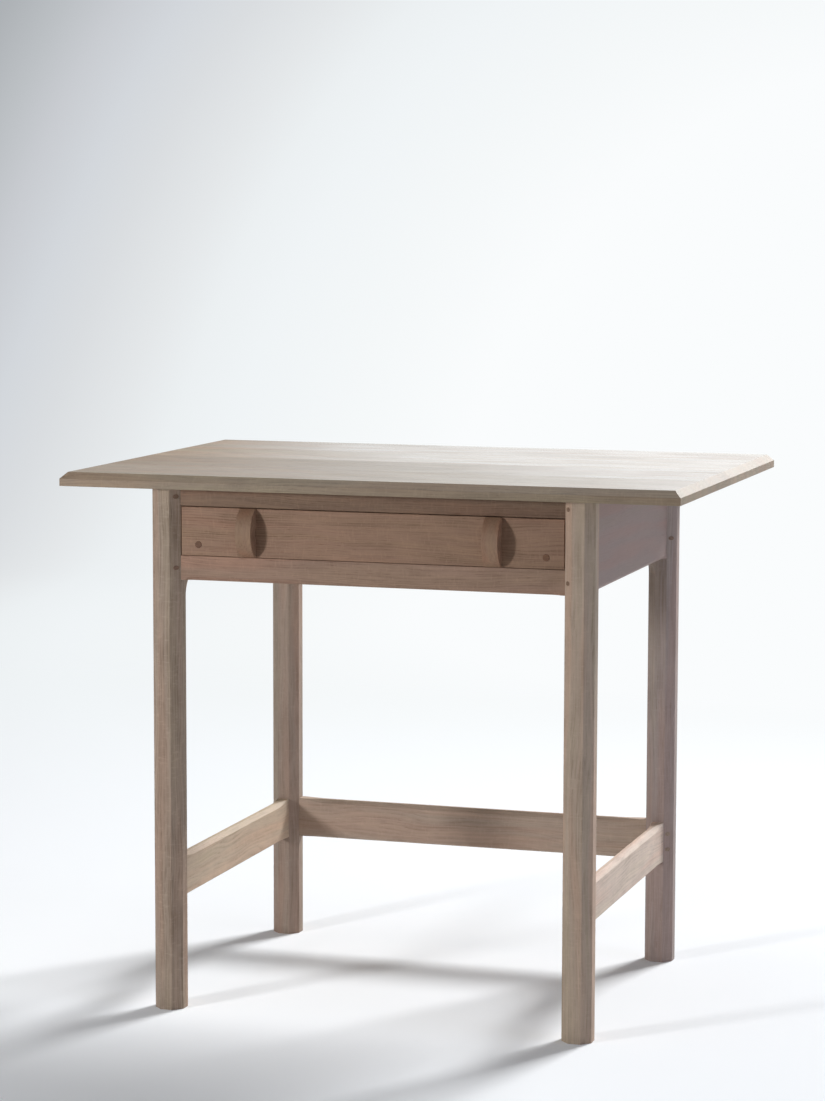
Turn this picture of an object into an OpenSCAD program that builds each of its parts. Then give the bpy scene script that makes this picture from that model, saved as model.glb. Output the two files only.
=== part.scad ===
// Oak writing desk with one drawer, octagonal legs and a stretcher on three sides
// Millimetres. X runs left to right, Y front to back, Z up from the floor.
// The origin is on the floor under the middle of the top.

/* [Overall] */
// Height from the floor to the upper face of the top
desk_h = 750; // [720:5:780]
// Width of the top
top_w = 872; // [856:2:900]
// Depth of the top, front to back
top_d = 624; // [600:2:680]
// Thickness of the top
top_t = 19; // [18:0.5:24]
// Width and height of the bevel round the top's upper edge
top_bevel = 9; // [5:0.5:11]
// How far the top stands out past the legs at each side
side_overhang = 122; // [100:2:130]
// How far the top stands out past the legs at the front
front_overhang = 26; // [20:1:34]
// How far the top stands out past the legs at the back
back_overhang = 74; // [40:2:84]

/* [Legs] */
// Size of the leg over its flats
leg_w = 41.5; // [40:0.5:44]
// Length of the curved run-out that ends the inner chamfer under the rails
leg_stop = 24; // [16:1:32]

/* [Rails and aprons] */
// How far each face of a rail, apron or stretcher sits inside the leg's arrises
rail_inset = 0.1; // [0:0.05:0.6]
// Depth of the aprons below the top
apron_h = 128; // [122:1:136]
// Depth of the rail above the drawer
top_rail_h = 25.5; // [23:0.5:28]
// Depth of the rail below the drawer
lower_rail_h = 34; // [31:0.5:36]
// Size of the stopped chamfer along the bottom of the aprons and lower rail
rail_chamfer = 5; // [3:0.5:6]
// Distance from the leg at which that chamfer dies out
rail_stop_gap = 5; // [3:1:12]
// Length of the curve that ends it
rail_stop = 14; // [10:1:20]

/* [Stretchers] */
// Height of the stretchers' lower edge above the floor
stretcher_z = 152; // [130:1:180]
// Depth of a stretcher
stretcher_h = 58.5; // [54:0.5:64]
// Size of the stopped chamfers on a stretcher's upper arrises
stretcher_chamfer = 6; // [4:0.5:7]
// Size of the stopped chamfers on a stretcher's lower arrises
stretcher_low_chamfer = 2; // [1:0.5:3]
// Distance from the leg at which the chamfers die out
stretcher_stop_gap = 8; // [4:1:14]
// Length of the curve that ends each upper chamfer
stretcher_stop = 42; // [30:1:55]
// Length of the curve that ends each lower chamfer
stretcher_low_stop = 24; // [16:1:36]

/* [Joints] */
// Thickness of every tenon
tenon_t = 8; // [6:0.5:9]
// Length of the tenons on the front rails, back apron and back stretcher
long_tenon = 25; // [22:0.5:28]
// Wood left in the leg between a long tenon and the short one beside it
tenon_web = 2; // [1.5:0.5:3]
// Height of each apron tenon
apron_tenon_h = 42; // [36:1:46]
// Distance from an apron's edge to its nearer tenon
apron_edge = 8; // [6:1:12]
// Distance from a front rail's edge to its tenon
rail_edge = 5; // [4:0.5:7]
// Distance from a stretcher's edge to its tenon
stretcher_edge = 9; // [8:0.5:12]
// Diameter of the drawbore pegs
peg_d = 6; // [5:0.5:7]
// Distance from the shoulder to the middle of a peg
peg_setback = 5; // [4.5:0.5:6]
// Distance between the two pegs of a stretcher joint
stretcher_peg_pitch = 23; // [20:1:26]
// How far the pegs stand proud of the leg
peg_proud = 0.4; // [0:0.1:1]
// Space left round a tenon or tongue and at its end
joint_gap = 0.2; // [0.1:0.05:0.4]
// Space left round pegs, plugs and screws
hole_gap = 0.05; // [0.05:0.05:0.2]

/* [Drawer] */
// Gap between the drawer front and the leg at each end
gap_side = 1; // [0.6:0.1:1.5]
// Gap above the drawer front
gap_top = 1.1; // [0.6:0.1:2]
// Gap below the drawer front
gap_bottom = 0.6; // [0.5:0.1:1.2]
// Space behind the drawer, in front of the back apron
back_space = 27.5; // [22:0.5:60]
// Thickness of the drawer sides
side_t = 10; // [9:0.5:12]
// Thickness of the drawer back
back_t = 10; // [9:0.5:12]
// Thickness of the drawer bottom
bottom_t = 6; // [5:0.5:7]
// Height of the drawer bottom above the lower edge of the sides
bottom_rise = 7; // [6:0.5:9]
// How far the bottom goes into its grooves
bottom_groove = 4; // [3:0.5:5]
// Wood left in front of the dovetails in the drawer front
front_lap = 5; // [4:0.5:6]
// Running clearance between the drawer sides and the runners
run_gap = 0.3; // [0.3:0.1:0.6]
// How far the drawer sides stop short of the top of the drawer front
side_drop = 1; // [0.5:0.5:3]
// Softening of the arrises round the drawer opening
easing = 0.6; // [0.3:0.1:1]

/* [Handles and plugs] */
// Width of a handle across its front
handle_w = 22.5; // [18:0.5:26]
// How far a handle stands out at its middle
handle_out = 22; // [16:0.5:24]
// How far a handle stands out at its two ends
handle_end = 2; // [1:0.5:4]
// Distance of each handle's middle from the end of the drawer front
handle_in = 97.5; // [70:0.5:140]
// Radius of the finger hollow in each side of a handle
hollow_r = 28; // [22:1:32]
// Depth of the finger hollow
hollow_d = 2.5; // [1.5:0.5:3.5]
// Distance from the drawer front to the middle of the finger hollow
hollow_out = 8.5; // [7:0.5:10]
// Size over the flats of the dark plugs
plug_w = 9; // [6:0.5:12]
// Distance of each plug's middle from the end of the drawer front
plug_in = 25; // [20:0.5:50]
// Height of the plugs above the lower edge of the drawer front
plug_rise = 15; // [10:0.5:24]
// Length of a plug
plug_len = 10; // [8:0.5:13]

/* [Bearers and fixings] */
// Width of the runners and kickers
bearer_w = 40; // [36:1:46]
// Depth of the runners
runner_h = 20; // [16:1:24]
// Height of the guides above the runners
guide_h = 18; // [14:1:22]
// Length of the drawer stops, front to back
stop_len = 14; // [10:1:15]
// Height of the drawer stops
stop_h = 12; // [9:1:16]
// Width of a button
button_w = 28; // [24:1:34]
// Length of a button without its tongue
button_len = 30; // [26:1:36]
// Thickness of a button
button_h = 16; // [14:1:18]
// Distance from a back leg to the middle of the nearer button
button_in = 92.5; // [70:0.5:130]
// Diameter of a screw shank
screw_d = 4; // [3.5:0.5:4.5]
// Diameter of a screw head
screw_head = 8; // [7:0.5:8.5]

/* [Hidden] */
$fn = 48;
run_out_fn = 360;
overshoot = 1;
under_top = desk_h - top_t;

// Legs
leg_x = top_w / 2 - side_overhang - leg_w / 2;
front_leg_y = -top_d / 2 + front_overhang + leg_w / 2;
back_leg_y = top_d / 2 - back_overhang - leg_w / 2;
leg_flat = leg_w * (sqrt(2) - 1);
corner_depth = leg_flat / 2;
leg_stop_r = (pow(leg_stop, 2) + pow(corner_depth, 2)) / (2 * corner_depth);

// Rails, aprons and stretchers
rail_t = leg_flat - 2 * rail_inset;
clear_x = leg_x - leg_w / 2;
clear_y0 = front_leg_y + leg_w / 2;
clear_y1 = back_leg_y - leg_w / 2;
apron_z = under_top - apron_h;
lower_rail_top = apron_z + lower_rail_h;
top_rail_z = under_top - top_rail_h;
apron_in_x = leg_x - rail_t / 2;
apron_in_y = back_leg_y - rail_t / 2;
front_y = front_leg_y - rail_t / 2;
rail_back_y = front_leg_y + rail_t / 2;

// Tenons, given as the heights of their lower and upper edges
short_tenon = leg_w / 2 - tenon_t / 2 - tenon_web;
top_rail_tenons = [[top_rail_z + rail_edge, under_top - rail_edge]];
lower_rail_tenons = [[apron_z + rail_edge, lower_rail_top - rail_edge]];
apron_tenons = [[apron_z + apron_edge, apron_z + apron_edge + apron_tenon_h],
                [under_top - apron_edge - apron_tenon_h, under_top - apron_edge]];
stretcher_tenons = [[stretcher_z + stretcher_edge, stretcher_z + stretcher_h - stretcher_edge]];

// Peg heights
peg_in = leg_w / 2 - peg_setback;
peg_past = 4;
peg_end = tenon_t / 2 + peg_past;
rail_peg_z = [for (t = concat(top_rail_tenons, lower_rail_tenons)) (t[0] + t[1]) / 2];
apron_peg_z = [for (t = apron_tenons) (t[0] + t[1]) / 2];
stretcher_mid = stretcher_z + stretcher_h / 2;
stretcher_peg_z = [stretcher_mid - stretcher_peg_pitch / 2, stretcher_mid + stretcher_peg_pitch / 2];

// Top boards
board_count = 4;
board_d = top_d / board_count;
tongue_t = 6;
tongue_l = 6;
tongue_end = 40;
tongue_drop = 1;
tongue_z = under_top + (top_t - tongue_t) / 2 - tongue_drop;

// Drawer
drawer_half = clear_x - gap_side;
drawer_front_t = rail_t;
front_z0 = lower_rail_top + gap_bottom;
front_z1 = top_rail_z - gap_top;
front_h = front_z1 - front_z0;
front_mid_z = (front_z0 + front_z1) / 2;
front_in_y = front_y + drawer_front_t;
drawer_back_y = apron_in_y - back_space;
side_z0 = lower_rail_top + run_gap;
side_z1 = front_z1 - side_drop;
side_in_x = drawer_half - side_t;
bottom_z = side_z0 + bottom_rise;
back_z0 = bottom_z + bottom_t;
back_drop = 5;
back_z1 = side_z1 - back_drop;
tail_slope = 1.7;
tail_len = drawer_front_t - front_lap;
tail_count = 3;
tail_pitch = (side_z1 - side_z0) / tail_count;
tail_share = 0.72;
tail_w = tail_pitch * tail_share;
pin_slope = 1.4;
pin_w = 8;

// Handles and plugs
handle_x = drawer_half - handle_in;
plug_x = drawer_half - plug_in;
handle_rise = handle_out - handle_end;
handle_r = (pow(front_h / 2, 2) + pow(handle_rise, 2)) / (2 * handle_rise);
handle_screw_pitch = 28;
handle_screw_len = drawer_front_t + 13;

// Runners, guides, kickers and their fixings
bearer_x = apron_in_x - bearer_w;
bearer_tongue_t = 8;
bearer_tongue_l = 5;
bearer_tongue_in = 6;
notch_gap = 0.2;
kicker_z = top_rail_z;
screw_head_h = 2.4;
screw_point = 4;
screw_tip = 0.8;
screw_sink = 0.5;
slot_w = 0.9;
slot_d = 1;
top_bite = 12;
rail_screw_len = top_rail_h - screw_sink + top_bite;
button_screw_len = button_h - screw_sink + top_bite;
bearer_screw_len = 30;
bearer_bite = 10;
bearer_screw_in = 40;
bearer_screw_y = [clear_y0 + bearer_screw_in, (clear_y0 + clear_y1) / 2, clear_y1 - bearer_screw_in];
kicker_screw_in = 65;
kicker_screw_y = [clear_y0 + kicker_screw_in, clear_y1 - kicker_screw_in];
kicker_screw_x = bearer_x + 14;
rail_screw_in = 92.5;
rail_screw_x = [for (side = [-1 : 1]) side * (clear_x - rail_screw_in)];
button_xs = [for (side = [-1 : 1]) side * (clear_x - button_in)];
button_tongue_l = 8;
button_tongue_h = 6;
button_slot = 9;
button_slot_w = 60;
button_gap = 0.5;
stop_in = 3;
bottom_screw_in = 91.5;
bottom_screw_x = [for (side = [-1 : 1]) side * (drawer_half - bottom_screw_in)];
bottom_screw_len = 22;

// Plain block between two corners
module block(x0, x1, y0, y1, z0, z1) {
    translate([x0, y0, z0]) cube([x1 - x0, y1 - y0, z1 - z0]);
}

// Bar centred on an arris along X that takes a plain chamfer off it
module arris_cut(length, size) {
    rotate([45, 0, 0]) cube([length + 2 * overshoot, size * sqrt(2), size * sqrt(2)], center = true);
}

// Cutter for a stopped chamfer on an arris along X, for wood at y < 0 and z < 0
module stopped_chamfer(length, size, gap, run) {
    depth = size / sqrt(2);
    run_r = (pow(run, 2) + pow(depth, 2)) / (2 * depth);
    start = gap + run;
    rotate([-45, 0, 0]) {
        translate([start, -size, -depth]) cube([length - 2 * start, 2 * size, 2 * depth]);
        for (x = [start, length - start])
            translate([x, 0, run_r - depth]) rotate([90, 0, 0])
                cylinder(r = run_r, h = 2 * size, center = true, $fn = run_out_fn);
    }
}

// Leg-centred frames in which the room under the desk is towards +X and +Y
module at_front_left() translate([-leg_x, front_leg_y, 0]) children();
module at_front_right() translate([leg_x, front_leg_y, 0]) mirror([1, 0, 0]) children();
module at_back_left() translate([-leg_x, back_leg_y, 0]) mirror([0, 1, 0]) children();
module at_back_right() translate([leg_x, back_leg_y, 0]) rotate([0, 0, 180]) children();
module at_front_legs() { at_front_left() children(); at_front_right() children(); }
module at_back_legs() { at_back_left() children(); at_back_right() children(); }
module at_left_legs() { at_front_left() children(); at_back_left() children(); }
module at_right_legs() { at_front_right() children(); at_back_right() children(); }

// Swaps X and Y of a leg-centred frame
module swap_xy() mirror([1, -1, 0]) children();

// Mortises in a leg for tenons that enter along X
module mortises(tenons, length) {
    for (t = tenons)
        block(leg_w / 2 - length - joint_gap, leg_w / 2 + overshoot,
              -tenon_t / 2 - joint_gap / 2, tenon_t / 2 + joint_gap / 2, t[0] - joint_gap, t[1] + joint_gap);
}

// Tenons that leave a shoulder at x = 0 towards -X
module tenons_at(tenons, length) {
    for (t = tenons) block(-length, overshoot, -tenon_t / 2, tenon_t / 2, t[0], t[1]);
}

// Holes for the pegs that cross a tenon along X
module peg_holes(heights) {
    for (z = heights)
        translate([peg_in, -leg_w / 2, z]) rotate([-90, 0, 0])
            cylinder(d = peg_d + 2 * hole_gap, h = leg_w / 2 + peg_end + hole_gap);
}

// Pegs cut off parallel to the chamfer that they come out of
module pegs(heights) {
    for (z = heights) intersection() {
        translate([peg_in, -leg_w / 2, z]) rotate([-90, 0, 0]) cylinder(d = peg_d, h = leg_w / 2 + peg_end);
        rotate([0, 0, -45])
            block(-leg_w, leg_w / 2 + peg_proud, -leg_w, leg_w, z - peg_d, z + peg_d);
    }
}

// Octagonal leg whose inner corner stays square beside the rails
module leg_blank() {
    difference() {
        block(-leg_w / 2, leg_w / 2, -leg_w / 2, leg_w / 2, 0, under_top);
        for (turn = [135, 225, 315]) rotate([0, 0, turn])
            block(leg_w / 2, leg_w, -leg_w / 2, leg_w / 2, -overshoot, under_top + overshoot);
        rotate([0, 0, 45]) {
            block(leg_w / 2, leg_w, -leg_w / 2, leg_w / 2, -overshoot, apron_z - leg_stop);
            translate([leg_w / 2 + leg_stop_r, 0, apron_z - leg_stop]) rotate([90, 0, 0])
                cylinder(r = leg_stop_r, h = leg_w, center = true, $fn = run_out_fn);
        }
        swap_xy() {
            mortises(concat(apron_tenons, stretcher_tenons), short_tenon);
            peg_holes(concat(apron_peg_z, stretcher_peg_z));
        }
    }
}

module front_leg() {
    difference() {
        leg_blank();
        mortises(concat(top_rail_tenons, lower_rail_tenons), long_tenon);
        peg_holes(rail_peg_z);
    }
}

module back_leg() {
    difference() {
        leg_blank();
        mortises(concat(apron_tenons, stretcher_tenons), long_tenon);
        peg_holes(concat(apron_peg_z, stretcher_peg_z));
    }
}

module leg_front_left() { color("#8d7866") at_front_left() front_leg(); }
module leg_front_right() { color("#8d7866") at_front_right() front_leg(); }
module leg_back_left() { color("#8d7866") at_back_left() back_leg(); }
module leg_back_right() { color("#8d7866") at_back_right() back_leg(); }

// Rail along X between two legs, with its tenons
module rail_x(y, z0, z1, tenons) {
    block(-clear_x, clear_x, y - rail_t / 2, y + rail_t / 2, z0, z1);
    translate([-clear_x, y, 0]) tenons_at(tenons, long_tenon);
    translate([clear_x, y, 0]) mirror([1, 0, 0]) tenons_at(tenons, long_tenon);
}

// Rail along Y between a front and a back leg, with its tenons
module rail_y(x, z0, z1, tenons) {
    block(x - rail_t / 2, x + rail_t / 2, clear_y0, clear_y1, z0, z1);
    translate([x, clear_y0, 0]) swap_xy() tenons_at(tenons, short_tenon);
    translate([x, clear_y1, 0]) mirror([0, 1, 0]) swap_xy() tenons_at(tenons, short_tenon);
}

module front_top_rail() {
    color("#86705f") difference() {
        rail_x(front_leg_y, top_rail_z, under_top, top_rail_tenons);
        at_front_legs() peg_holes(rail_peg_z);
        translate([0, front_y, top_rail_z]) arris_cut(2 * clear_x, easing);
        at_rail_screws() screw_hole(rail_screw_len);
    }
}

module front_lower_rail() {
    color("#86705f") difference() {
        rail_x(front_leg_y, apron_z, lower_rail_top, lower_rail_tenons);
        at_front_legs() peg_holes(rail_peg_z);
        translate([0, front_y, lower_rail_top]) arris_cut(2 * clear_x, easing);
        translate([clear_x, front_y, apron_z]) rotate([0, 180, 0]) mirror([0, 1, 0])
            stopped_chamfer(2 * clear_x, rail_chamfer, rail_stop_gap, rail_stop);
        for (side = [0, 1]) mirror([side, 0, 0]) bearer_tongue(rail_back_y, -1, joint_gap);
    }
}

// Stopped chamfer along the lower outer arris of a right-hand apron
module apron_chamfer() {
    translate([leg_x + rail_t / 2, clear_y0, apron_z]) mirror([0, 0, 1]) rotate([0, 0, 90]) mirror([0, 1, 0])
        stopped_chamfer(clear_y1 - clear_y0, rail_chamfer, rail_stop_gap, rail_stop);
}

// Apron on the right; the left one is its mirror image
module side_apron() {
    difference() {
        rail_y(leg_x, apron_z, under_top, apron_tenons);
        at_right_legs() swap_xy() peg_holes(apron_peg_z);
        apron_chamfer();
        bearer_screw_holes();
    }
}

module apron_right() { color("#7b6c64") side_apron(); }
module apron_left() { color("#7b6c64") mirror([1, 0, 0]) side_apron(); }

module apron_back() {
    color("#7b6c64") difference() {
        rail_x(back_leg_y, apron_z, under_top, apron_tenons);
        at_back_legs() peg_holes(apron_peg_z);
        translate([-clear_x, back_leg_y + rail_t / 2, apron_z]) mirror([0, 0, 1])
            stopped_chamfer(2 * clear_x, rail_chamfer, rail_stop_gap, rail_stop);
        for (side = [0, 1]) mirror([side, 0, 0]) bearer_tongue(apron_in_y, 1, joint_gap);
        button_slots();
    }
}

// Four stopped chamfers round a stretcher that runs along X from 0 to its length
module stretcher_chamfers(length) {
    for (side = [0, 1]) mirror([0, side, 0]) {
        translate([0, rail_t / 2, stretcher_z + stretcher_h])
            stopped_chamfer(length, stretcher_chamfer, stretcher_stop_gap, stretcher_stop);
        translate([0, rail_t / 2, stretcher_z]) mirror([0, 0, 1])
            stopped_chamfer(length, stretcher_low_chamfer, stretcher_stop_gap, stretcher_low_stop);
    }
}

module side_stretcher() {
    difference() {
        rail_y(leg_x, stretcher_z, stretcher_z + stretcher_h, stretcher_tenons);
        translate([leg_x, clear_y0, 0]) rotate([0, 0, 90]) stretcher_chamfers(clear_y1 - clear_y0);
        at_right_legs() swap_xy() peg_holes(stretcher_peg_z);
    }
}

module stretcher_right() { color("#b5a596") side_stretcher(); }
module stretcher_left() { color("#b5a596") mirror([1, 0, 0]) side_stretcher(); }

module stretcher_back() {
    color("#8f7c6c") difference() {
        rail_x(back_leg_y, stretcher_z, stretcher_z + stretcher_h, stretcher_tenons);
        translate([-clear_x, back_leg_y, 0]) stretcher_chamfers(2 * clear_x);
        at_back_legs() peg_holes(stretcher_peg_z);
    }
}

module front_rail_pegs() { color("#5d4a3b") at_front_legs() pegs(rail_peg_z); }

module apron_pegs() {
    color("#5d4a3b") {
        at_left_legs() swap_xy() pegs(apron_peg_z);
        at_right_legs() swap_xy() pegs(apron_peg_z);
        at_back_legs() pegs(apron_peg_z);
    }
}

module stretcher_pegs() {
    color("#5d4a3b") {
        at_left_legs() swap_xy() pegs(stretcher_peg_z);
        at_right_legs() swap_xy() pegs(stretcher_peg_z);
        at_back_legs() pegs(stretcher_peg_z);
    }
}

// Bevel round the upper edge of the top
module top_bevels() {
    for (side = [-1, 1]) {
        translate([0, side * top_d / 2, desk_h]) arris_cut(top_w, top_bevel);
        translate([side * top_w / 2, 0, desk_h]) rotate([0, 0, 90]) arris_cut(top_d, top_bevel);
    }
}

// Board of the top, numbered from the front, tongued into the one behind it
module top_board(n) {
    y0 = -top_d / 2 + n * board_d;
    y1 = y0 + board_d;
    tongue_x = top_w / 2 - tongue_end;
    difference() {
        union() {
            block(-top_w / 2, top_w / 2, y0, y1, under_top, desk_h);
            if (n < board_count - 1)
                block(-tongue_x, tongue_x, y1 - overshoot, y1 + tongue_l, tongue_z, tongue_z + tongue_t);
        }
        if (n > 0)
            block(-tongue_x - joint_gap, tongue_x + joint_gap, y0 - overshoot, y0 + tongue_l + joint_gap,
                  tongue_z - joint_gap / 2, tongue_z + tongue_t + joint_gap / 2);
        top_bevels();
        top_screw_holes();
    }
}

module top_board_front() { color("#b9aea2") top_board(0); }
module top_board_front_middle() { color("#b9aea2") top_board(1); }
module top_board_back_middle() { color("#b9aea2") top_board(2); }
module top_board_back() { color("#b9aea2") top_board(3); }

// Countersunk screw pointing up, its head just inside z = 0
module screw(length) {
    translate([0, 0, screw_sink]) difference() {
        union() {
            cylinder(d1 = screw_head, d2 = screw_d, h = screw_head_h);
            cylinder(d = screw_d, h = length - screw_point);
            translate([0, 0, length - screw_point]) cylinder(d1 = screw_d, d2 = screw_tip, h = screw_point);
        }
        block(-screw_head, screw_head, -slot_w / 2, slot_w / 2, -overshoot, slot_d);
    }
}

// Hole for that screw
module screw_hole(length) {
    hole_d = screw_d + 2 * hole_gap;
    head_d = screw_head + 2 * hole_gap;
    translate([0, 0, -overshoot]) cylinder(d = head_d, h = screw_sink + overshoot);
    translate([0, 0, screw_sink]) cylinder(d1 = head_d, d2 = hole_d, h = screw_head_h);
    cylinder(d = hole_d, h = screw_sink + length + joint_gap);
}

// Frames of the screws that hold the top down
module at_rail_screws() { for (x = rail_screw_x) translate([x, front_leg_y, top_rail_z]) children(); }
module at_kicker_screws() {
    for (side = [-1, 1], y = kicker_screw_y) translate([side * kicker_screw_x, y, kicker_z]) children();
}
module at_button_screws() {
    for (x = button_xs) translate([x, apron_in_y - button_len / 2, under_top - button_h]) children();
}

module top_screw_holes() {
    at_rail_screws() screw_hole(rail_screw_len);
    at_kicker_screws() screw_hole(rail_screw_len);
    at_button_screws() screw_hole(button_screw_len);
}

module top_screws() {
    color("#8a8378") {
        at_rail_screws() screw(rail_screw_len);
        at_kicker_screws() screw(rail_screw_len);
    }
}

// Slots in the back apron that let the buttons slide as the top swells and shrinks
module button_slots() {
    for (x = button_xs)
        block(x - button_slot_w / 2, x + button_slot_w / 2, apron_in_y - overshoot, apron_in_y + button_slot,
              under_top - button_h - button_gap, under_top - button_h + button_tongue_h);
}

module top_buttons() {
    color("#7d6958") for (x = button_xs) difference() {
        union() {
            block(x - button_w / 2, x + button_w / 2, apron_in_y - button_len, apron_in_y - button_gap,
                  under_top - button_h, under_top);
            block(x - button_w / 2, x + button_w / 2, apron_in_y - overshoot, apron_in_y + button_tongue_l,
                  under_top - button_h, under_top - button_h + button_tongue_h);
        }
        at_button_screws() screw_hole(button_screw_len);
    }
}

module button_screws() { color("#8a8378") at_button_screws() screw(button_screw_len); }

// Tongue that seats the end of a right-hand runner; dir is -1 at the front and 1 at the back
module bearer_tongue(y, dir, gap) {
    reach = bearer_tongue_l + gap;
    z_mid = lower_rail_top - runner_h / 2;
    y_in = y - dir * overshoot;
    y_out = y + dir * reach;
    block(bearer_x + bearer_tongue_in - gap, clear_x - bearer_tongue_in + gap,
          min(y_in, y_out), max(y_in, y_out),
          z_mid - bearer_tongue_t / 2 - gap / 2, z_mid + bearer_tongue_t / 2 + gap / 2);
}

// Bearer against the right-hand apron, notched round the legs
module bearer(z0, z1) {
    difference() {
        block(bearer_x, apron_in_x, rail_back_y, apron_in_y, z0, z1);
        block(clear_x - notch_gap, apron_in_x + overshoot, rail_back_y - overshoot, clear_y0 + notch_gap,
              z0 - overshoot, z1 + overshoot);
        block(clear_x - notch_gap, apron_in_x + overshoot, clear_y1 - notch_gap, apron_in_y + overshoot,
              z0 - overshoot, z1 + overshoot);
    }
}

// Frames of the screws that go sideways through the right-hand bearers into the apron
module at_bearer_screws() {
    for (y = bearer_screw_y, z = [lower_rail_top - runner_h / 2, kicker_z + top_rail_h / 2])
        translate([apron_in_x + bearer_bite - bearer_screw_len, y, z]) rotate([0, 90, 0]) children();
}

// Holes counterbored from a bearer's inner edge, so that short screws reach the apron
module bearer_screw_holes() {
    at_bearer_screws() {
        screw_hole(bearer_screw_len - screw_sink);
        translate([0, 0, -bearer_w]) cylinder(d = screw_head + 2 * hole_gap, h = bearer_w + screw_sink);
    }
}

module runner() {
    difference() {
        union() {
            bearer(lower_rail_top - runner_h, lower_rail_top);
            bearer_tongue(rail_back_y, -1, 0);
            bearer_tongue(apron_in_y, 1, 0);
        }
        bearer_screw_holes();
    }
}

module runner_right() { color("#9a8673") runner(); }
module runner_left() { color("#9a8673") mirror([1, 0, 0]) runner(); }

module guide() {
    block(clear_x, apron_in_x, clear_y0 + notch_gap, clear_y1 - notch_gap,
          lower_rail_top, lower_rail_top + guide_h);
}

module guide_right() { color("#9a8673") guide(); }
module guide_left() { color("#9a8673") mirror([1, 0, 0]) guide(); }

module kicker() {
    difference() {
        bearer(kicker_z, under_top);
        bearer_screw_holes();
        at_kicker_screws() screw_hole(rail_screw_len);
    }
}

module kicker_right() { color("#9a8673") kicker(); }
module kicker_left() { color("#9a8673") mirror([1, 0, 0]) kicker(); }

module bearer_screws() {
    color("#8a8378") for (side = [0, 1]) mirror([side, 0, 0])
        at_bearer_screws() screw(bearer_screw_len - screw_sink);
}

module drawer_stops() {
    stop_y = drawer_back_y + run_gap;
    color("#7d6958") for (side = [0, 1]) mirror([side, 0, 0])
        block(bearer_x + stop_in, clear_x - stop_in, stop_y, stop_y + stop_len,
              lower_rail_top, lower_rail_top + stop_h);
}

// Wedge along Y and Z, x_len thick along X, half_0 high each way at y = 0 and half_1 at y = reach
module wedge(reach, half_0, half_1, x_len) {
    rotate([90, 0, 90]) linear_extrude(x_len)
        polygon([[0, -half_0], [reach, -half_1], [reach, half_1], [0, half_0]]);
}

// Tails at the front end of the right-hand drawer side, larger all round by the gap when cut as sockets
module front_tails(gap) {
    reach = tail_len + gap;
    root = tail_w / 2 - tail_slope + gap;
    x_len = side_t + gap + socket_over(gap);
    for (z = [for (n = [1 : tail_count]) side_z0 + tail_pitch * (n - 0.5)])
        translate([side_in_x - gap, front_in_y, z]) {
            mirror([0, 1, 0]) wedge(reach, root, root + tail_slope * reach / tail_len, x_len);
            wedge(overshoot, root, root, x_len);
        }
}

// Pins at the right-hand end of the drawer back, larger all round by the gap when cut as sockets
module back_pins(gap) {
    reach = back_t + socket_over(gap);
    for (z = [back_z0 + pin_w / 2, (back_z0 + back_z1) / 2, back_z1 - pin_w / 2])
        translate([side_in_x - overshoot, drawer_back_y - back_t, z])
            wedge(reach, pin_w / 2 + gap, pin_w / 2 + gap - pin_slope * reach / back_t,
                  side_t + overshoot + socket_over(gap));
}

function socket_over(gap) = gap > 0 ? overshoot : 0;

module drawer_side() {
    difference() {
        union() {
            block(side_in_x, drawer_half, front_in_y, drawer_back_y, side_z0, side_z1);
            front_tails(0);
        }
        back_pins(joint_gap / 2);
        block(side_in_x - overshoot, side_in_x + bottom_groove + joint_gap, front_in_y - tail_len - overshoot,
              drawer_back_y + overshoot, bottom_z - joint_gap / 2, bottom_z + bottom_t + joint_gap / 2);
    }
}

module drawer_side_right() { color("#a08c78") drawer_side(); }
module drawer_side_left() { color("#a08c78") mirror([1, 0, 0]) drawer_side(); }

module drawer_back() {
    color("#a08c78") difference() {
        union() {
            block(-side_in_x, side_in_x, drawer_back_y - back_t, drawer_back_y, back_z0, back_z1);
            for (side = [0, 1]) mirror([side, 0, 0]) back_pins(0);
        }
        at_bottom_screws() screw_hole(bottom_screw_len);
    }
}

module at_bottom_screws() {
    for (x = bottom_screw_x) translate([x, drawer_back_y - back_t / 2, bottom_z]) children();
}

module drawer_bottom() {
    half = side_in_x + bottom_groove;
    color("#a08c78") difference() {
        block(-half, half, front_in_y - bottom_groove, drawer_back_y, bottom_z, bottom_z + bottom_t);
        at_bottom_screws() screw_hole(bottom_screw_len);
    }
}

module drawer_bottom_screws() { color("#8a8378") at_bottom_screws() screw(bottom_screw_len); }

module at_plugs() {
    for (side = [-1, 1])
        translate([side * plug_x, front_y, front_z0 + plug_rise]) rotate([-90, 22.5, 0]) children();
}

// Octagonal peg over its flats
module octagon_bar(width, length) cylinder(d = width / cos(22.5), h = length, $fn = 8);

module at_handle_screws() {
    for (side = [-1, 1], rise = [-1, 1])
        translate([side * handle_x, front_in_y, front_mid_z + rise * handle_screw_pitch / 2])
            rotate([90, 0, 0]) children();
}

module drawer_front() {
    color("#8a7261") difference() {
        block(-drawer_half, drawer_half, front_y, front_in_y, front_z0, front_z1);
        for (side = [0, 1]) mirror([side, 0, 0]) {
            front_tails(joint_gap / 2);
            translate([drawer_half, front_y, front_mid_z]) rotate([0, 90, 0]) arris_cut(front_h, easing);
        }
        block(-side_in_x - bottom_groove, side_in_x + bottom_groove, front_in_y - bottom_groove - joint_gap,
              front_in_y + overshoot, bottom_z - joint_gap / 2, bottom_z + bottom_t + joint_gap / 2);
        for (z = [front_z0, front_z1]) translate([0, front_y, z]) arris_cut(2 * drawer_half, easing);
        at_plugs() translate([0, 0, -overshoot]) octagon_bar(plug_w + 2 * hole_gap, plug_len + overshoot);
        at_handle_screws() screw_hole(handle_screw_len);
    }
}

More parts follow.
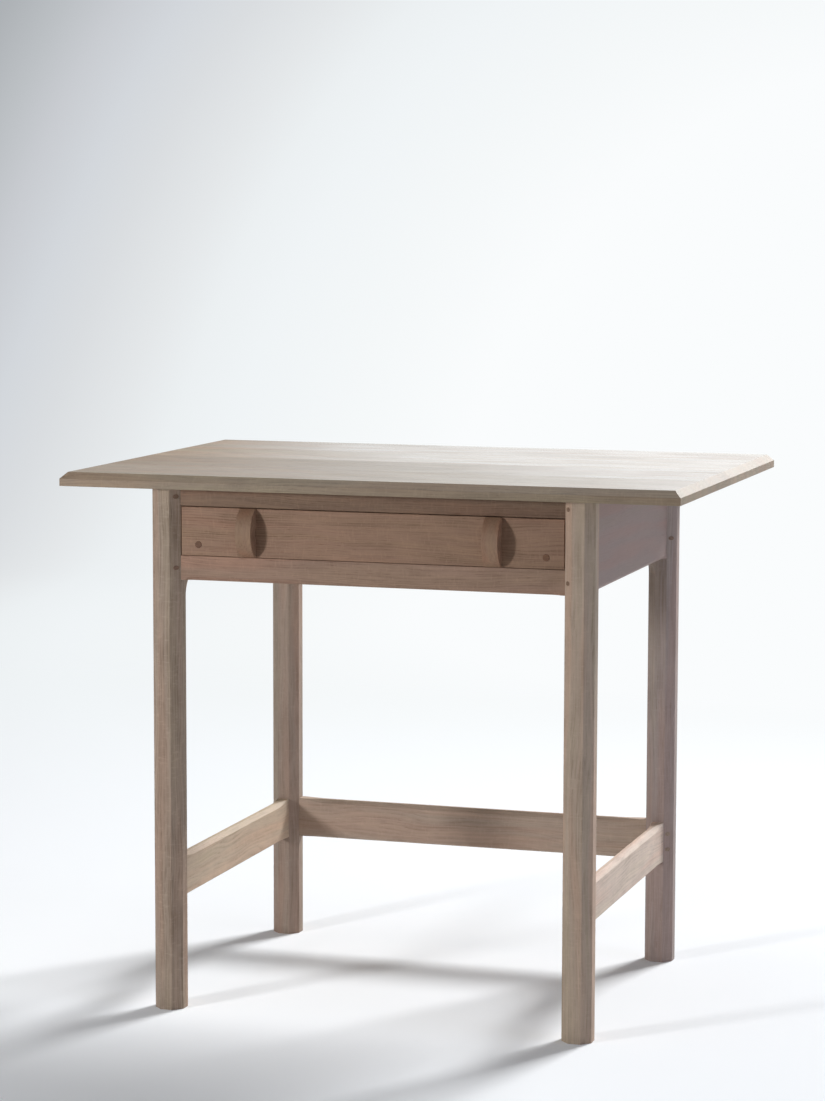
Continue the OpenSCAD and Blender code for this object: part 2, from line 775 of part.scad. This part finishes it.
module drawer_front_plugs() {
    color("#4f3f33") at_plugs() translate([0, 0, -peg_proud])
        octagon_bar(plug_w, plug_len + peg_proud - joint_gap);
}

// Half-moon slab with a shallow hollow for the fingers in each side
module handle(side) {
    difference() {
        translate([side * handle_x, front_y, front_mid_z]) intersection() {
            translate([0, handle_r - handle_out, 0]) rotate([0, 90, 0])
                cylinder(r = handle_r, h = handle_w + 2 * overshoot, center = true);
            block(-handle_w / 2, handle_w / 2, -handle_out - overshoot, 0, -front_h / 2, front_h / 2);
        }
        for (cheek = [-1, 1])
            translate([side * handle_x + cheek * (handle_w / 2 + hollow_r - hollow_d), front_y - hollow_out,
                       front_mid_z]) sphere(r = hollow_r);
        at_handle_screws() screw_hole(handle_screw_len);
    }
}

module handle_left() { color("#8f7a66") handle(-1); }
module handle_right() { color("#8f7a66") handle(1); }
module handle_screws() { color("#8a8378") at_handle_screws() screw(handle_screw_len); }

top_board_front();
top_board_front_middle();
top_board_back_middle();
top_board_back();
leg_front_left();
leg_front_right();
leg_back_left();
leg_back_right();
front_top_rail();
front_lower_rail();
apron_left();
apron_right();
apron_back();
stretcher_left();
stretcher_right();
stretcher_back();
front_rail_pegs();
apron_pegs();
stretcher_pegs();
runner_left();
runner_right();
guide_left();
guide_right();
kicker_left();
kicker_right();
drawer_stops();
bearer_screws();
top_screws();
top_buttons();
button_screws();
drawer_front();
drawer_side_left();
drawer_side_right();
drawer_back();
drawer_bottom();
drawer_bottom_screws();
handle_left();
handle_right();
handle_screws();
drawer_front_plugs();
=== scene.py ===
import math

import bpy
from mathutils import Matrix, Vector

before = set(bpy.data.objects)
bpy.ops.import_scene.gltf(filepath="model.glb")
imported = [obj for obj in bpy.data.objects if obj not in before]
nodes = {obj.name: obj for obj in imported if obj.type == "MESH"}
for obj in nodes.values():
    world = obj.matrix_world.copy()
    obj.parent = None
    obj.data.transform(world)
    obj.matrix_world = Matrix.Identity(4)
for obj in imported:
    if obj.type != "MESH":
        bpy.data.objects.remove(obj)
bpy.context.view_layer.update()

MM = 1000.0  # millimetres in a metre, the scale of every wood pattern


def linear(hex_colour):
    """An sRGB hex colour as the linear values that a shader takes."""
    values = [int(hex_colour[i:i + 2], 16) / 255 for i in (1, 3, 5)]
    return [v / 12.92 if v <= 0.04045 else ((v + 0.055) / 1.055) ** 2.4 for v in values] + [1.0]


def add(tree, kind, inputs=None, stops=(), **settings):
    """Adds a shader node: its settings, its inputs as values or as links, and the stops of its colour
    ramp. Where an input is given a node, it is linked to that node's first output."""
    node = tree.nodes.new("ShaderNode" + kind)
    for name, value in settings.items():
        setattr(node, name, value)
    for key, value in (inputs or {}).items():
        socket = next(s for i, s in enumerate(node.inputs) if s.enabled and key in (i, s.name))
        if isinstance(value, bpy.types.Node):
            value = next(s for s in value.outputs if s.enabled)
        if isinstance(value, bpy.types.NodeSocket):
            tree.links.new(value, socket)
        else:
            socket.default_value = value
    for number, (place, colour) in enumerate(stops):
        marks = node.color_ramp.elements
        mark = marks[number] if number < 2 else marks.new(place)
        mark.position = place
        mark.color = colour if isinstance(colour, list) else (colour, colour, colour, 1)
    return node


def new_material(name):
    material = bpy.data.materials.new(name)
    material.use_nodes = True
    material.node_tree.nodes.clear()
    return material, material.node_tree


# Turns that bring a piece's grain onto the pattern's X axis
GRAIN_TURN = {"x": (0, 0, 0), "y": (0, 0, -math.pi / 2), "z": (0, math.pi / 2, 0)}
# Where the desk's pieces begin and end along the grain, in mm
SPAN = {"x": (-400, 400), "y": (-270, 270), "z": (0, 730)}

RING_SPACING = 3.4  # mm from one growth ring to the next
WANDER = 30  # mm, the range that the fibres' noise is spread over, of which they use about 8
EASED_ARRIS = 0.0009  # metres over which an arris is rounded
PORE_DEPTH = 0.0002  # metres

# How the tones of the wood differ from a piece's middle colour, in linear red, green and blue
DARK_WOOD = [0.70, 0.67, 0.63, 1]
PALE_WOOD = [1.22, 1.23, 1.22, 1]
PINK_WOOD = [1.05, 0.965, 0.935, 1]
OLIVE_WOOD = [0.985, 1.0, 0.965, 1]
PLAIN_WOOD = [1, 1, 1, 1]
PORE_COLOUR = "#9a8672"  # multiplies the colour of the wood


def drawn_out(tree, place, along, across, detail=2.0):
    """A pattern drawn out along the grain: along and across are the size in mm of one patch."""
    at = add(tree, "Mapping", {"Vector": place, "Scale": (1 / along, 1 / across, 1 / across)})
    return add(tree, "TexNoise", {"Vector": at, "Scale": 1.0, "Detail": detail, "Roughness": 0.55})


def eased_edges(tree, width):
    """Normals rounded over an arris, and how near a point is to an arris, from 0 to 1."""
    rounded = add(tree, "Bevel", {"Radius": width}, samples=6)
    flat = add(tree, "NewGeometry").outputs["True Normal"]
    likeness = add(tree, "VectorMath", {0: rounded, 1: flat}, operation="DOT_PRODUCT")
    near = add(tree, "MapRange", {"Value": likeness, "From Min": 0.995, "From Max": 0.90})
    return rounded, near


def tinted(colour, tint):
    return [c * t for c, t in zip(colour, tint)]


def oak(name, grain, seed, pith, colour, roughness=0.6, gloss=0.3, turn=0.0, wax=None, figure=1.0,
        painted_shade=0.0):
    """White oak, sawn, planed and oiled to a dull sheen. It gives the eye growth rings round a pith
    outside the board, open pores drawn out along the grain, short ray flecks across it, and slow
    changes between pinker and greener wood.

    grain is the axis that the fibres follow, pith the place in mm of the heart of the tree across the
    grain, turn the way the rings face, colour the middle colour of the piece, figure the strength of
    its rings, pores, flecks and tones, painted_shade the share by which painted shade dims it towards
    its upper or right end, where less light reaches it, and wax how fully wax covers its upper face at
    its left end and at its right end."""
    middle = linear(colour)
    dark, pale = (tinted(middle, [1 + figure * (t - 1) for t in tint]) for tint in (DARK_WOOD, PALE_WOOD))
    material, tree = new_material(name)
    place = add(tree, "TexCoord").outputs["Object"]
    # Each piece is cut from its own place in the log
    shift = 137.0 * seed
    along = add(tree, "Mapping", {"Vector": place, "Rotation": GRAIN_TURN[grain], "Scale": (MM, MM, MM),
                                  "Location": (shift, 0, 0)})
    log = add(tree, "Mapping", {"Vector": along, "Rotation": (turn, 0, 0),
                                "Location": (0, 61.0 * seed % 40, 43.0 * seed % 30)})

    # Fibres wander some 8 mm sideways over 300 mm of length
    wander = add(tree, "VectorMath", {0: drawn_out(tree, log, 310, 90).outputs["Color"],
                                      1: (0.5, 0.5, 0.5)}, operation="SUBTRACT")
    bent = add(tree, "VectorMath", {0: wander, 1: (0, WANDER, WANDER), 2: log}, operation="MULTIPLY_ADD")
    from_pith = add(tree, "VectorMath", {0: bent, 1: (0, 1, 1), 2: (0, pith[0], pith[1])},
                    operation="MULTIPLY_ADD")
    radius = add(tree, "VectorMath", {0: from_pith}, operation="LENGTH")

    # Growth rings, wider and narrower by turns, each with a dark porous start
    uneven = add(tree, "Math", {0: drawn_out(tree, bent, 700, 14, 1.0), 1: 3.0}, operation="MULTIPLY")
    years = add(tree, "Math", {0: radius, 1: 1 / RING_SPACING, 2: uneven}, operation="MULTIPLY_ADD")
    ring = add(tree, "Math", {0: years}, operation="FRACT")
    early = add(tree, "ValToRGB", {"Fac": ring},
                ((0.0, 1.0), (0.30, 0.4), (0.62, 0.0), (0.88, 0.1), (1.0, 1.0)))
    strength = add(tree, "MapRange", {"Value": drawn_out(tree, bent, 160, 30, 1.0), "From Min": 0.35,
                                      "From Max": 0.65, "To Min": 0.25 * figure, "To Max": figure})
    rings = add(tree, "Math", {0: early, 1: strength}, operation="MULTIPLY")

    # Pores 0.8 mm wide and 14 mm long, wider than real ones so that they show, and most in the early wood
    pores = add(tree, "MapRange", {"Value": drawn_out(tree, bent, 14, 0.8, 1.5), "From Min": 0.55,
                                   "From Max": 0.70})
    share = add(tree, "Math", {0: rings, 1: 0.7, 2: 0.3}, operation="MULTIPLY_ADD")
    open_pores = add(tree, "Math", {0: pores, 1: share}, operation="MULTIPLY")

    # Fibre streaks 3 mm wide and 180 mm long, cloudy patches 18 mm wide and 50 mm long,
    # and ray flecks 3 mm along the grain and 11 mm across it
    streaks = drawn_out(tree, bent, 180, 3.0, 2.5)
    clouds = drawn_out(tree, bent, 50, 18, 2.0)
    flecks = add(tree, "MapRange", {"Value": drawn_out(tree, bent, 3, 11, 1.0), "From Min": 0.56,
                                    "From Max": 0.72, "To Max": 0.10 * figure})
    fibres = add(tree, "Math", {0: streaks, 1: 0.55, 2: flecks}, operation="MULTIPLY_ADD")
    mixed = add(tree, "Math", {0: clouds, 1: 0.45, 2: fibres}, operation="MULTIPLY_ADD")
    tone = add(tree, "Math", {0: rings, 1: -0.17, 2: mixed}, operation="MULTIPLY_ADD")
    wood = add(tree, "ValToRGB", {"Fac": tone}, ((0.24, dark), (0.46, middle), (0.68, pale)))

    # Bands of pinker and greener wood, 26 mm wide and half a metre long
    bands = add(tree, "ValToRGB", {"Fac": drawn_out(tree, bent, 450, 26, 1.5)},
                ((0.38, OLIVE_WOOD), (0.48, PLAIN_WOOD), (0.62, PINK_WOOD)))
    banded = add(tree, "Mix", {"Factor": 1.0, "A": wood, "B": bands}, data_type="RGBA",
                 blend_type="MULTIPLY")
    # Painted shade: the colour dims towards the piece's upper or right end, where less light reaches it
    if painted_shade:
        low, high = SPAN[grain]
        end = add(tree, "MapRange", {"Value": add(tree, "SeparateXYZ", {"Vector": along}).outputs["X"],
                                     "From Min": shift + low, "From Max": shift + high})
        banded = add(tree, "Mix", {"Factor": end, "A": banded, "B": [1 - painted_shade] * 3 + [1]},
                     data_type="RGBA", blend_type="MULTIPLY")
    pore_share = add(tree, "Math", {0: open_pores, 1: 0.5 * min(figure, 1.0)}, operation="MULTIPLY")
    porous = add(tree, "Mix", {"Factor": pore_share, "A": banded, "B": linear(PORE_COLOUR)},
                 data_type="RGBA", blend_type="MULTIPLY")

    # Arrises eased by hand over about a millimetre and rubbed a little smoother, and paler along them:
    # partly wear and partly a painted highlight
    rounded, near_edge = eased_edges(tree, EASED_ARRIS)
    wear_and_highlight = add(tree, "Math", {0: near_edge, 1: 0.3}, operation="MULTIPLY")
    # Painted highlight and wear: the colour turns paler near each arris
    rubbed_and_highlit = add(tree, "Mix", {"Factor": wear_and_highlight, "A": porous, "B": pale}, data_type="RGBA")
    smoother = add(tree, "Math", {0: near_edge, 1: -0.08, 2: roughness}, operation="MULTIPLY_ADD")

    # Pores and early wood lie lower, and pores and pale patches are duller
    hollows = add(tree, "Math", {0: rings, 1: 0.25, 2: open_pores}, operation="MULTIPLY_ADD")
    bump = add(tree, "Bump", {"Strength": 0.3, "Distance": PORE_DEPTH, "Height": hollows,
                              "Normal": rounded}, invert=True)
    duller = add(tree, "Math", {0: open_pores, 1: 0.2, 2: smoother}, operation="MULTIPLY_ADD")
    off_middle = add(tree, "Math", {0: mixed, 1: 0.5}, operation="SUBTRACT")
    rough = add(tree, "Math", {0: off_middle, 1: 0.35, 2: duller}, operation="MULTIPLY_ADD")

    shader = add(tree, "BsdfPrincipled", {"Base Color": rubbed_and_highlit, "Roughness": rough,
                                          "Specular IOR Level": gloss, "Normal": bump})
    if wax:
        # Wax on the upper face and a little on its bevels, rubbed thin to the left, and thinner in
        # patches 130 mm long and 30 mm wide
        across = add(tree, "SeparateXYZ", {"Vector": place}).outputs["X"]
        coated = add(tree, "MapRange", {"Value": across, "From Min": -0.35, "From Max": 0.35,
                                        "To Min": wax[0], "To Max": wax[1]}, clamp=False)
        full = add(tree, "Math", {0: coated, 1: 1.0}, operation="MINIMUM")
        patches = add(tree, "MapRange", {"Value": drawn_out(tree, log, 130, 30, 4.0), "From Min": 0.36,
                                         "From Max": 0.60, "To Min": 0.72, "To Max": 1.0})
        normal = add(tree, "NewGeometry").outputs["True Normal"]
        facing = add(tree, "SeparateXYZ", {"Vector": normal}).outputs["Z"]
        upper = add(tree, "MapRange", {"Value": facing, "From Min": 0.45, "From Max": 0.90})
        rubbed_in = add(tree, "Math", {0: full, 1: patches}, operation="MULTIPLY")
        waxed = add(tree, "Math", {0: rubbed_in, 1: upper}, operation="MULTIPLY")
        tree.links.new(waxed.outputs[0], shader.inputs["Coat Weight"])
        tree.links.new(rounded.outputs[0], shader.inputs["Coat Normal"])
        shader.inputs["Coat Roughness"].default_value = 0.14
    add(tree, "OutputMaterial", {"Surface": shader})
    return material


def clothe(node, material):
    for slot in nodes[node].material_slots:
        slot.material = material


# Grain axis, seed, heart of the tree, turn of the log and middle colour of each piece of the stand
frame_pieces = {
    "leg_front_left": ("z", 1.3, (90, 60), 0.6, "#aa9787"),
    "leg_front_right": ("z", 2.1, (70, -80), 0.2, "#b8a594"),
    "leg_back_left": ("z", 3.7, (-60, 90), 0.9, "#a59386"),
    "leg_back_right": ("z", 4.2, (85, 40), 0.4, "#a59792"),
    # The top rail's dark middle colour is partly its own tone and partly painted shade from the overhang
    # of the top above it
    "front_top_rail": ("x", 5.4, (30, 70), 0.1, "#8a705d"),
    "front_lower_rail": ("x", 6.8, (20, 60), 0.3, "#a48775"),
    "apron_left": ("y", 7.5, (60, 30), 0.2, "#a49183"),
    "apron_right": ("y", 8.1, (70, 20), 0.5, "#a08e89"),
    "apron_back": ("x", 9.6, (40, 80), 0.3, "#ac9886"),
    "stretcher_left": ("y", 10.2, (60, 50), 0.1, "#c2af9a"),
    "stretcher_right": ("y", 11.9, (50, 60), 0.7, "#d3c1b3"),
    "stretcher_back": ("x", 12.3, (45, 75), 0.2, "#b6a394"),
}
# How strongly some of them are figured, 1 for the rest, and how much painted shade dims two towards
# the right, where less light reaches them
figured = {"leg_front_left": 1.1, "leg_front_right": 0.8, "leg_back_left": 0.8, "leg_back_right": 0.7,
           "apron_right": 0.4, "stretcher_left": 0.75, "stretcher_right": 0.75, "stretcher_back": 0.75}
shade_painted_to_right = {"front_top_rail": 0.3, "front_lower_rail": 0.08}
for piece, (grain, seed, pith, turn, colour) in frame_pieces.items():
    clothe(piece, oak("planed and oiled oak " + piece, grain, seed, pith, colour, turn=turn,
                      figure=figured.get(piece, 1.0), painted_shade=shade_painted_to_right.get(piece, 0.0)))

# The top is polished with wax, which mirrors the pale paper at a low angle
# Seed, heart of the tree, turn of the log, middle colour and wax of each of its boards
top_pieces = {
    "top_board_front": (13.4, (40, 90), 0.0, "#93826d", (0.25, 0.8)),
    "top_board_front_middle": (15.1, (15, 90), 0.15, "#92816e", (0.12, 1.05)),
    "top_board_back_middle": (16.8, (-10, 90), 0.3, "#a1907c", (0.15, 2.2)),
    "top_board_back": (18.5, (-35, 90), 0.45, "#9c8b78", (0.35, 3.0)),
}
for piece, (seed, pith, turn, colour, wax) in top_pieces.items():
    clothe(piece, oak("planed and waxed oak " + piece, "x", seed, pith, colour, roughness=0.5,
                      gloss=0.5, turn=turn, wax=wax))

# A redder board for the drawer front, with painted shade dimming it towards the right, where less light
# reaches it, and handles shaped with their grain upright
clothe("drawer_front", oak("planed and oiled oak drawer front", "x", 20.7, (35, 55), "#a1816c",
                           turn=0.35, painted_shade=0.17))
for number, piece in enumerate(("handle_left", "handle_right")):
    clothe(piece, oak("shaped and oiled oak " + piece, "z", 22.3 + number, (60, 30), "#987b66",
                      turn=1.2, figure=0.7))

# Grain axis and seed of the pieces inside, planed and left bare: paler, yellower and a little duller
bare_pieces = {
    "drawer_side_left": ("y", 24.1), "drawer_side_right": ("y", 25.8), "drawer_back": ("x", 26.2),
    "drawer_bottom": ("x", 27.9), "runner_left": ("y", 28.4), "runner_right": ("y", 29.3),
    "guide_left": ("y", 30.1), "guide_right": ("y", 31.6), "kicker_left": ("y", 32.2),
    "kicker_right": ("y", 33.8), "drawer_stops": ("x", 34.5), "top_buttons": ("y", 35.7),
}
for piece, (grain, seed) in bare_pieces.items():
    clothe(piece, oak("planed bare oak " + piece, grain, seed, (50, 70), "#c2aa88", roughness=0.62))

# Pegs and plugs, pared flush: their end grain drinks the oil and turns darker
for piece, grain, colour in (("front_rail_pegs", "y", "#8a7160"), ("apron_pegs", "x", "#8c7668"),
                             ("stretcher_pegs", "x", "#a08d7e"), ("drawer_front_plugs", "y", "#755543")):
    clothe(piece, oak("pared oak end grain " + piece, grain, 36.6, (30, 40), colour))


def turned_steel(name):
    """Steel screws, turned and gone dull. It gives the eye a soft grey shine with fine duller marks."""
    material, tree = new_material(name)
    place = add(tree, "TexCoord").outputs["Object"]
    # Marks 0.4 mm apart
    at = add(tree, "Mapping", {"Vector": place, "Scale": (MM, MM, MM)})
    dull = add(tree, "TexNoise", {"Vector": at, "Scale": 2.5, "Detail": 3.0})
    rough = add(tree, "MapRange", {"Value": dull, "From Min": 0.3, "From Max": 0.7, "To Min": 0.32,
                                   "To Max": 0.5})
    colour = add(tree, "ValToRGB", {"Fac": dull}, ((0.3, linear("#9b9890")), (0.7, linear("#b5b2aa"))))
    shader = add(tree, "BsdfPrincipled", {"Base Color": colour, "Metallic": 1.0, "Roughness": rough})
    add(tree, "OutputMaterial", {"Surface": shader})
    return material


screw_steel = turned_steel("dulled turned steel")
for piece in ("bearer_screws", "top_screws", "button_screws", "drawer_bottom_screws", "handle_screws"):
    clothe(piece, screw_steel)


# The studio, in metres. The wall stands far enough back for the views from behind
FLOOR_SIDE = 14
FLOOR_CENTRE = (-1, -1.3, 0)
WALL_HEIGHT = 2.8
WALL_CURVE = 1.45
TOUCHING = 0.01  # how near a corner has to be to count as on an edge


def studio_sweep():
    """Floor and wall in one pale sweep, with a wide curve between them."""
    bpy.ops.object.select_all(action="DESELECT")
    bpy.ops.mesh.primitive_plane_add(size=FLOOR_SIDE, location=FLOOR_CENTRE)
    sweep = bpy.context.object
    sweep.name = "studio_sweep"
    bpy.ops.object.transform_apply(location=True, rotation=True, scale=True)
    bpy.ops.object.mode_set(mode="EDIT")
    bpy.ops.mesh.select_mode(type="EDGE")
    bpy.ops.mesh.select_all(action="DESELECT")
    bpy.ops.object.mode_set(mode="OBJECT")
    back = max(v.co.y for v in sweep.data.vertices)
    for edge in sweep.data.edges:
        edge.select = all(sweep.data.vertices[v].co.y > back - TOUCHING for v in edge.vertices)
    bpy.ops.object.mode_set(mode="EDIT")
    bpy.ops.mesh.extrude_region_move(TRANSFORM_OT_translate={"value": (0, 0, WALL_HEIGHT)})
    bpy.ops.object.mode_set(mode="OBJECT")
    for edge in sweep.data.edges:
        ends = [sweep.data.vertices[v].co for v in edge.vertices]
        edge.select = all(e.y > back - TOUCHING and abs(e.z) < TOUCHING for e in ends)
    bpy.ops.object.mode_set(mode="EDIT")
    bpy.ops.mesh.bevel(offset=WALL_CURVE, segments=16, profile=0.5)
    bpy.ops.mesh.select_all(action="SELECT")
    bpy.ops.mesh.faces_shade_smooth()
    bpy.ops.object.mode_set(mode="OBJECT")
    return sweep


def seen_or_reflected(tree):
    """1 for what the camera sees, straight, in a reflection or through glass, and 0 for what lights
    the desk."""
    rays = add(tree, "LightPath").outputs
    mirrored = add(tree, "Math", {0: rays["Is Glossy Ray"], 1: rays["Is Transmission Ray"]},
                   operation="MAXIMUM")
    return add(tree, "Math", {0: rays["Is Camera Ray"], 1: mirrored}, operation="MAXIMUM")


# The brightest place of the backdrop, how far the glow reaches from it each way, and its tones on the
# way from there, 0, to the end of its reach, 1
GLOW_CENTRE = (-0.01, 4.9, 0.47)
GLOW_REACH = (4.01, 6.8, 3.11)
GLOW_TONES = ((0.37, "#fafcfd"), (0.47, "#f5f8f9"), (0.57, "#f0f4f6"), (0.62, "#ecf0f2"),
              (0.67, "#e4e7e9"), (0.73, "#dadde0"), (0.78, "#d3d7dc"), (0.83, "#c9ccd1"),
              (0.87, "#bdc1c5"), (0.92, "#aeb2b6"), (1.0, "#a0a4a9"))
# How far behind the middle of the desk the glow starts, and how far behind it is full
GLOW_START, GLOW_FULL = 0.5, 2.6


def paper_sweep(name):
    """Matt white background paper. Its far part glows for the camera and in reflections only, brightest
    behind the desk's right side and greyer to the left and above, so it adds no light to the desk."""
    material, tree = new_material(name)
    place = add(tree, "TexCoord").outputs["Object"]
    seen = seen_or_reflected(tree)
    off = add(tree, "Mapping", {"Vector": place, "Location": GLOW_CENTRE, "Scale": GLOW_REACH},
              vector_type="TEXTURE")
    away = add(tree, "VectorMath", {0: off}, operation="LENGTH")
    glow_colour = add(tree, "ValToRGB", {"Fac": away}, [(mark, linear(tone)) for mark, tone in GLOW_TONES])
    glow = add(tree, "Emission", {"Color": glow_colour, "Strength": 1.0})
    # White where the camera sees the floor, and greyer where it throws light back at the desk
    by_camera = add(tree, "LightPath").outputs["Is Camera Ray"]
    paper = add(tree, "Mix", {"Factor": by_camera, "A": linear("#d0d0d0"), "B": linear("#f5f8fb")},
                data_type="RGBA")
    matt = add(tree, "BsdfDiffuse", {"Color": paper})
    depth = add(tree, "SeparateXYZ", {"Vector": place}).outputs["Y"]
    far = add(tree, "MapRange", {"Value": depth, "From Min": GLOW_START, "From Max": GLOW_FULL},
              interpolation_type="SMOOTHSTEP")
    share = add(tree, "Math", {0: far, 1: seen}, operation="MULTIPLY")
    both = add(tree, "MixShader", {"Fac": share, 1: matt, 2: glow})
    add(tree, "OutputMaterial", {"Surface": both})
    return material


sweep = studio_sweep()
sweep.data.materials.append(paper_sweep("matt white background paper"))


def soft_light(name, place, aim, size, watts, colour, spread=180):
    """A flat lamp turned from its place to its aim: its width and height in metres, its power in watts
    and the angle in degrees that it spreads over."""
    lamp = bpy.data.lights.new(name, "AREA")
    lamp.shape = "RECTANGLE"
    lamp.size, lamp.size_y = size
    lamp.spread = math.radians(spread)
    lamp.energy = watts
    lamp.color = linear(colour)[:3]
    light = bpy.data.objects.new(name, lamp)
    light.location = place
    light.rotation_euler = (Vector(aim) - Vector(place)).to_track_quat("-Z", "Y").to_euler()
    bpy.context.scene.collection.objects.link(light)
    return light


soft_light("key_behind_right", (2.4, 5.4, 5.14), (0, 0, 0.4), (2.0, 2.0), 680, "#ffffff")
soft_light("overhead", (-0.6, -0.5, 3.7), (-0.4, -0.5, 0.0), (2.2, 2.2), 17, "#ffffff")
soft_light("fill_front_left", (-1.55, -2.2, 1.0), (0, 0, 0.55), (0.3, 0.3), 28, "#ffffff")
soft_light("window_right", (3.2, -0.6, 0.9), (0, 0, 0.5), (1.8, 1.8), 17, "#dfe8ff")
# A weak, wide and low strip behind the desk, seen only as the pale sheen on the right of the waxed top
sheen = soft_light("sheen_behind", (-1.2, 5.3, 1.35), (-1.2, 0, 1.1), (5.0, 1.6), 0.75, "#ffffff",
                   spread=44)
sheen.visible_camera = False

ROOM_LIGHT = (0.075, 0.075, 0.077, 1)  # what the room adds to the light on the desk
ROOM_SEEN = (0.5, 0.51, 0.52, 1)  # what the camera and the reflections see past the sweep
world = bpy.data.worlds.new("pale room")
bpy.context.scene.world = world
world.use_nodes = True
world.node_tree.nodes.clear()
sky = world.node_tree
room = add(sky, "Mix", {"Factor": seen_or_reflected(sky), "A": ROOM_LIGHT, "B": ROOM_SEEN},
           data_type="RGBA")
add(sky, "OutputWorld", {"Surface": add(sky, "Background", {"Color": room})})

# The camera that the photograph's edges and corners fit
lens = bpy.data.cameras.new("camera")
lens.lens = 104.286
lens.sensor_width = 36
lens.clip_end = 60
camera = bpy.data.objects.new("camera", lens)
camera.location = (1.33925, -4.32842, 1.13479)
camera.rotation_euler = [math.radians(a) for a in (83.56991, -0.14274, 17.51483)]
bpy.context.scene.collection.objects.link(camera)
bpy.context.scene.camera = camera
bpy.context.scene.view_settings.view_transform = "Standard"
